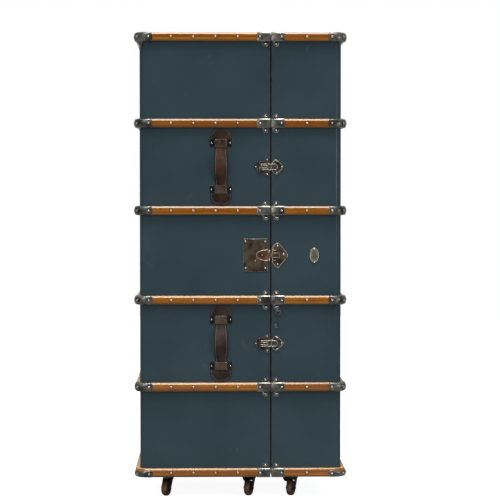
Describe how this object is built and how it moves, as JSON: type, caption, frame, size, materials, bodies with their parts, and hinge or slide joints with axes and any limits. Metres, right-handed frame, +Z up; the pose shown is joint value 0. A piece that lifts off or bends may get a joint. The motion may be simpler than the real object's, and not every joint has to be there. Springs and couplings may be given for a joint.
{
  "type": "bar trunk",
  "caption": "Tall wardrobe-style bar trunk on casters, with wooden slats, leather handles, lock and clasps, and a hinged door half over shelves, drawers and bottle bins.",
  "frame": {"origin": "on the floor under the centre of the case", "axes": "+Z up, -Y towards the front with the lock and handles, +X towards the door half"},
  "size_m": [0.6636, 0.5283, 1.4699],
  "materials": {
    "covering": "plywood covered in dark blue-grey coated canvas, matt",
    "slat_wood": "honey-brown hardwood slats, varnished and worn",
    "aged_brass": "bronzed and aged",
    "dark_steel": "dark, worn bright on its edges",
    "handle_leather": "dark brown, waxed and rubbed",
    "wheel_wood": "dark turned hardwood",
    "shelf_wood": "stained hardwood, satin"
  },
  "bodies": {
    "main": {"main_shell": "covering", "main_slat_band_1": "slat_wood", "main_slat_band_2": "slat_wood", "main_slat_band_3": "slat_wood", "main_slat_band_4": "slat_wood", "main_slat_band_5": "slat_wood", "main_slat_band_6": "slat_wood", "upper_hinge_main_leaf": "dark_steel", "middle_hinge_main_leaf": "dark_steel", "lower_hinge_main_leaf": "dark_steel", "lock_plate": "aged_brass", "upper_clasp_base": "aged_brass", "lower_clasp_base": "aged_brass", "upper_handle_upper_keeper": "aged_brass", "upper_handle_lower_keeper": "aged_brass", "lower_handle_upper_keeper": "aged_brass", "lower_handle_lower_keeper": "aged_brass", "upper_shelf": "shelf_wood", "lower_shelf": "shelf_wood", "glass_rack": "shelf_wood", "drawer_case": "shelf_wood"},
    "door": {"door_shell": "covering", "door_slat_band_1": "slat_wood", "door_slat_band_2": "slat_wood", "door_slat_band_3": "slat_wood", "door_slat_band_4": "slat_wood", "door_slat_band_5": "slat_wood", "door_slat_band_6": "slat_wood", "upper_hinge_door_leaf": "dark_steel", "middle_hinge_door_leaf": "dark_steel", "lower_hinge_door_leaf": "dark_steel", "hasp_plate": "aged_brass", "upper_clasp_catch": "aged_brass", "lower_clasp_catch": "aged_brass", "blank_plaque": "aged_brass", "key_nail": "dark_steel", "lower_bottle_bin": "shelf_wood", "middle_bottle_bin": "shelf_wood", "upper_bottle_bin": "shelf_wood"},
    "hasp": {"hasp": "aged_brass"},
    "upper_clasp": {"upper_clasp": "aged_brass"},
    "lower_clasp": {"lower_clasp": "aged_brass"},
    "upper_handle": {"upper_handle_strap": "handle_leather"},
    "lower_handle": {"lower_handle_strap": "handle_leather"},
    "front_drawer": {"front_drawer": "shelf_wood"},
    "rear_drawer": {"rear_drawer": "shelf_wood"},
    "key": {"key": "dark_steel"},
    "front_left_fork": {"front_left_caster_fork": "dark_steel"},
    "front_middle_fork": {"front_middle_caster_fork": "dark_steel"},
    "front_door_fork": {"front_door_caster_fork": "dark_steel"},
    "rear_left_fork": {"rear_left_caster_fork": "dark_steel"},
    "rear_middle_fork": {"rear_middle_caster_fork": "dark_steel"},
    "rear_door_fork": {"rear_door_caster_fork": "dark_steel"},
    "front_left_wheel": {"front_left_caster_wheel": "wheel_wood"},
    "front_middle_wheel": {"front_middle_caster_wheel": "wheel_wood"},
    "front_door_wheel": {"front_door_caster_wheel": "wheel_wood"},
    "rear_left_wheel": {"rear_left_caster_wheel": "wheel_wood"},
    "rear_middle_wheel": {"rear_middle_caster_wheel": "wheel_wood"},
    "rear_door_wheel": {"rear_door_caster_wheel": "wheel_wood"}
  },
  "joints": [
    {"name": "door_hinge", "type": "hinge", "parent": "main", "child": "door", "pos_m": [0.0955, 0.257, 0.77], "axis": [0, 0, 1], "range_deg": [0, 180]},
    {"name": "hasp_hinge", "type": "hinge", "parent": "door", "child": "hasp", "pos_m": [0.0905, -0.2436, 0.76992], "axis": [0, 0, 1], "range_deg": [0, 165]},
    {"name": "upper_clasp_hinge", "type": "hinge", "parent": "main", "child": "upper_clasp", "pos_m": [0.0595, -0.2431, 1.04817], "axis": [0, 0, -1], "range_deg": [0, 165]},
    {"name": "lower_clasp_hinge", "type": "hinge", "parent": "main", "child": "lower_clasp", "pos_m": [0.0595, -0.2431, 0.49167], "axis": [0, 0, -1], "range_deg": [0, 165]},
    {"name": "upper_handle_slide", "type": "slide", "parent": "main", "child": "upper_handle", "axis": [0, 0, 1], "range_m": [0, 0.004]},
    {"name": "lower_handle_slide", "type": "slide", "parent": "main", "child": "lower_handle", "axis": [0, 0, 1], "range_m": [0, 0.004]},
    {"name": "front_drawer_slide", "type": "slide", "parent": "main", "child": "front_drawer", "axis": [1, 0, 0], "range_m": [0, 0.2]},
    {"name": "rear_drawer_slide", "type": "slide", "parent": "main", "child": "rear_drawer", "axis": [1, 0, 0], "range_m": [0, 0.2]},
    {"name": "key_swing", "type": "hinge", "parent": "door", "child": "key", "pos_m": [0.1175, -0.24155, 0.59442], "axis": [0, 1, 0], "range_deg": [-60, 60]},
    {"name": "front_left_swivel", "type": "hinge", "parent": "main", "child": "front_left_fork", "pos_m": [-0.2295, -0.1525, 0], "axis": [0, 0, 1], "continuous": true},
    {"name": "front_middle_swivel", "type": "hinge", "parent": "main", "child": "front_middle_fork", "pos_m": [0.0335, -0.1525, 0], "axis": [0, 0, 1], "continuous": true},
    {"name": "front_door_swivel", "type": "hinge", "parent": "door", "child": "front_door_fork", "pos_m": [0.1685, -0.1525, 0], "axis": [0, 0, 1], "continuous": true},
    {"name": "rear_left_swivel", "type": "hinge", "parent": "main", "child": "rear_left_fork", "pos_m": [-0.2295, 0.1525, 0], "axis": [0, 0, 1], "continuous": true},
    {"name": "rear_middle_swivel", "type": "hinge", "parent": "main", "child": "rear_middle_fork", "pos_m": [0.0335, 0.1525, 0], "axis": [0, 0, 1], "continuous": true},
    {"name": "rear_door_swivel", "type": "hinge", "parent": "door", "child": "rear_door_fork", "pos_m": [0.1685, 0.1525, 0], "axis": [0, 0, 1], "continuous": true},
    {"name": "front_left_roll", "type": "hinge", "parent": "front_left_fork", "child": "front_left_wheel", "pos_m": [-0.23634, -0.17129, 0.02462], "axis": [0.9397, -0.342, 0], "continuous": true},
    {"name": "front_middle_roll", "type": "hinge", "parent": "front_middle_fork", "child": "front_middle_wheel", "pos_m": [0.02666, -0.17129, 0.02462], "axis": [0.9397, -0.342, 0], "continuous": true},
    {"name": "front_door_roll", "type": "hinge", "parent": "front_door_fork", "child": "front_door_wheel", "pos_m": [0.16166, -0.17129, 0.02462], "axis": [0.9397, -0.342, 0], "continuous": true},
    {"name": "rear_left_roll", "type": "hinge", "parent": "rear_left_fork", "child": "rear_left_wheel", "pos_m": [-0.23634, 0.13371, 0.02462], "axis": [0.9397, -0.342, 0], "continuous": true},
    {"name": "rear_middle_roll", "type": "hinge", "parent": "rear_middle_fork", "child": "rear_middle_wheel", "pos_m": [0.02666, 0.13371, 0.02462], "axis": [0.9397, -0.342, 0], "continuous": true},
    {"name": "rear_door_roll", "type": "hinge", "parent": "rear_door_fork", "child": "rear_door_wheel", "pos_m": [0.16166, 0.13371, 0.02462], "axis": [0.9397, -0.342, 0], "continuous": true}
  ]
}
